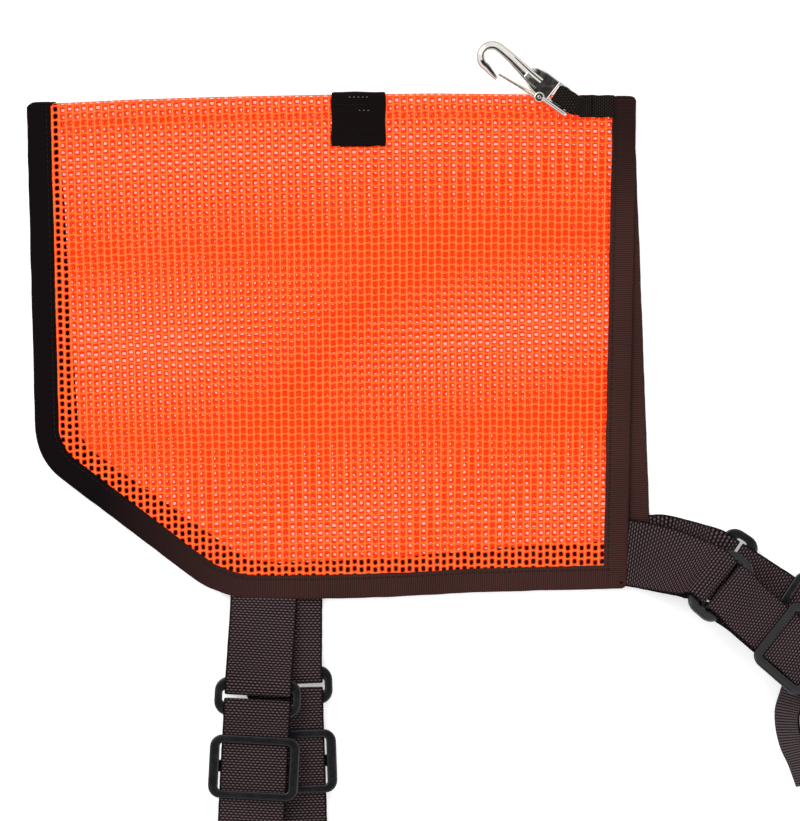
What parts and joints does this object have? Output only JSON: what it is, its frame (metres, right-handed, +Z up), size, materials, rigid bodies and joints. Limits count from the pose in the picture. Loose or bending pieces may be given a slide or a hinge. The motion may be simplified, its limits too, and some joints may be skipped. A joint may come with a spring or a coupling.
{
  "type": "mesh safety vest for a working animal",
  "caption": "Folded open-mesh safety vest with taped edges, a snap hook on its spine, and adjustable chest and belly straps that end in side-release buckle halves.",
  "frame": {"origin": "centre of the laid-flat part's footprint, at the surface it lies on", "axes": "+X along the spine towards the collar end, +Y from the hem towards the spine, +Z up from the surface"},
  "size_m": [0.5523, 0.5721, 0.0432],
  "materials": {
    "orange_mesh": "vinyl-coated open mesh, satin",
    "binding_tape": "ribbed woven tape, matt",
    "black_webbing": "ribbed webbing, matt",
    "black_plastic": "moulded, satin",
    "nickel_plate": "polished cast metal with bright plating",
    "spring_steel": "bright strip"
  },
  "bodies": {
    "back_panel": {"back_mesh_panel": "orange_mesh", "back_tail_binding": "binding_tape", "back_hem_binding": "binding_tape", "back_collar_binding": "binding_tape"},
    "front_panel": {"front_mesh_panel": "orange_mesh", "front_tail_binding": "binding_tape", "front_hem_binding": "binding_tape", "front_collar_binding": "binding_tape", "spine_tab": "black_webbing", "collar_strap": "black_webbing", "hook_loop": "black_webbing"},
    "snap_hook": {"hook_body": "nickel_plate", "hook_rivet": "nickel_plate"},
    "snap_hook_gate": {"hook_gate": "spring_steel"},
    "back_belly_loop": {"back_belly_anchor_loop": "black_webbing"},
    "back_belly_ring": {"back_belly_ring": "black_plastic"},
    "back_belly_strap": {"back_belly_strap": "black_webbing"},
    "back_belly_glide": {"back_belly_tri_glide": "black_plastic"},
    "back_belly_buckle": {"back_belly_female_buckle": "black_plastic"},
    "front_belly_loop": {"front_belly_anchor_loop": "black_webbing"},
    "front_belly_ring": {"front_belly_ring": "black_plastic"},
    "front_belly_strap": {"front_belly_strap": "black_webbing"},
    "front_belly_glide": {"front_belly_tri_glide": "black_plastic"},
    "front_belly_buckle": {"front_belly_male_buckle": "black_plastic"},
    "back_chest_loop": {"back_chest_anchor_loop": "black_webbing"},
    "back_chest_ring": {"back_chest_ring": "black_plastic"},
    "back_chest_strap": {"back_chest_strap": "black_webbing"},
    "back_chest_glide": {"back_chest_tri_glide": "black_plastic"},
    "back_chest_buckle": {"back_chest_female_buckle": "black_plastic"},
    "front_chest_loop": {"front_chest_anchor_loop": "black_webbing"},
    "front_chest_ring": {"front_chest_ring": "black_plastic"},
    "front_chest_strap": {"front_chest_strap": "black_webbing", "front_chest_loose_end": "black_webbing"},
    "front_chest_glide": {"front_chest_tri_glide": "black_plastic"},
    "front_chest_buckle": {"front_chest_male_buckle": "black_plastic"}
  },
  "joints": [
    {"name": "spine_fold", "type": "hinge", "parent": "back_panel", "child": "front_panel", "pos_m": [-0.0644, 0.2577, 0.0028], "axis": [-1, 0, 0], "range_deg": [0, 180]},
    {"name": "hook_swing", "type": "hinge", "parent": "front_panel", "child": "snap_hook", "pos_m": [0.0328, 0.253, 0.011], "axis": [0.6157, 0.788, 0], "range_deg": [0, 110]},
    {"name": "hook_gate_open", "type": "hinge", "parent": "snap_hook", "child": "snap_hook_gate", "pos_m": [0.01431, 0.2545, 0.011], "axis": [0, 0, -1], "range_deg": [0, 16], "stiffness_Nm_per_rad": 0.25},
    {"name": "back_belly_hem_fold", "type": "hinge", "parent": "back_panel", "child": "back_belly_loop", "pos_m": [-0.1273, -0.0252, 0.0016], "axis": [-1, 0, 0], "range_deg": [-90, 0]},
    {"name": "back_belly_ring_swing", "type": "hinge", "parent": "back_belly_loop", "child": "back_belly_ring", "pos_m": [-0.12734, -0.07138, 0.0048], "axis": [-0.9995, -0.0332, 0], "range_deg": [-25, 0]},
    {"name": "back_belly_strap_swing", "type": "hinge", "parent": "back_belly_ring", "child": "back_belly_strap", "pos_m": [-0.12686, -0.08562, 0.0048], "axis": [-0.9995, -0.0332, 0], "range_deg": [-16, 0]},
    {"name": "back_belly_glide_slide", "type": "slide", "parent": "back_belly_strap", "child": "back_belly_glide", "axis": [0.0332, -0.9995, 0], "range_m": [-0.007, 0.09]},
    {"name": "back_belly_buckle_swing", "type": "hinge", "parent": "back_belly_strap", "child": "back_belly_buckle", "pos_m": [-0.12163, -0.24341, 0.0048], "axis": [-0.9995, -0.0332, 0], "range_deg": [-30, 30]},
    {"name": "front_belly_hem_fold", "type": "hinge", "parent": "front_panel", "child": "front_belly_loop", "pos_m": [-0.1416, -0.0298, 0.00525], "axis": [-1, 0, 0], "range_deg": [0, 65]},
    {"name": "front_belly_ring_swing", "type": "hinge", "parent": "front_belly_loop", "child": "front_belly_ring", "pos_m": [-0.14443, -0.07769, 0.0134], "axis": [-0.9986, 0.0523, 0], "range_deg": [0, 25]},
    {"name": "front_belly_strap_swing", "type": "hinge", "parent": "front_belly_ring", "child": "front_belly_strap", "pos_m": [-0.14517, -0.09191, 0.0134], "axis": [-0.9986, 0.0523, 0], "range_deg": [0, 12]},
    {"name": "front_belly_glide_slide", "type": "slide", "parent": "front_belly_strap", "child": "front_belly_glide", "axis": [-0.0523, -0.9986, 0], "range_m": [-0.004, 0.045]},
    {"name": "front_belly_buckle_swing", "type": "hinge", "parent": "front_belly_strap", "child": "front_belly_buckle", "pos_m": [-0.15066, -0.19665, 0.0134], "axis": [-0.9986, 0.0523, 0], "range_deg": [0, 30]},
    {"name": "back_chest_hem_fold", "type": "hinge", "parent": "back_panel", "child": "back_chest_loop", "pos_m": [0.079, -0.0006, 0.0016], "axis": [0, -1, 0], "range_deg": [-45, 0]},
    {"name": "back_chest_ring_swing", "type": "hinge", "parent": "back_chest_loop", "child": "back_chest_ring", "pos_m": [0.11272, -0.00912, 0.0048], "axis": [-0.5446, -0.8387, 0], "range_deg": [-25, 0]},
    {"name": "back_chest_strap_swing", "type": "hinge", "parent": "back_chest_ring", "child": "back_chest_strap", "pos_m": [0.12468, -0.01688, 0.0048], "axis": [-0.5446, -0.8387, 0], "range_deg": [-25, 0]},
    {"name": "back_chest_glide_slide", "type": "slide", "parent": "back_chest_strap", "child": "back_chest_glide", "axis": [0.8387, -0.5446, 0], "range_m": [-0.018, 0.05]},
    {"name": "back_chest_buckle_swing", "type": "hinge", "parent": "back_chest_strap", "child": "back_chest_buckle", "pos_m": [0.2294, -0.08489, 0.0048], "axis": [-0.5446, -0.8387, 0], "range_deg": [-30, 0]},
    {"name": "front_chest_hem_fold", "type": "hinge", "parent": "front_panel", "child": "front_chest_loop", "pos_m": [0.0672, -0.0036, 0.00525], "axis": [0, -1, 0], "range_deg": [0, 110]},
    {"name": "front_chest_ring_swing", "type": "hinge", "parent": "front_chest_loop", "child": "front_chest_ring", "pos_m": [0.11082, -0.01683, 0.026], "axis": [-0.5439, -0.6257, 0.5592], "range_deg": [0, 25]},
    {"name": "front_chest_strap_swing", "type": "hinge", "parent": "front_chest_ring", "child": "front_chest_strap", "pos_m": [0.12158, -0.02617, 0.026], "axis": [-0.5439, -0.6257, 0.5592], "range_deg": [0, 25]},
    {"name": "front_chest_glide_slide", "type": "slide", "parent": "front_chest_strap", "child": "front_chest_glide", "axis": [0.7547, -0.6561, 0], "range_m": [-0.02, 0.016]},
    {"name": "front_chest_buckle_swing", "type": "hinge", "parent": "front_chest_strap", "child": "front_chest_buckle", "pos_m": [0.2086, -0.1426, 0.0052], "axis": [-0.9967, -0.0808, 0], "range_deg": [0, 30]}
  ]
}
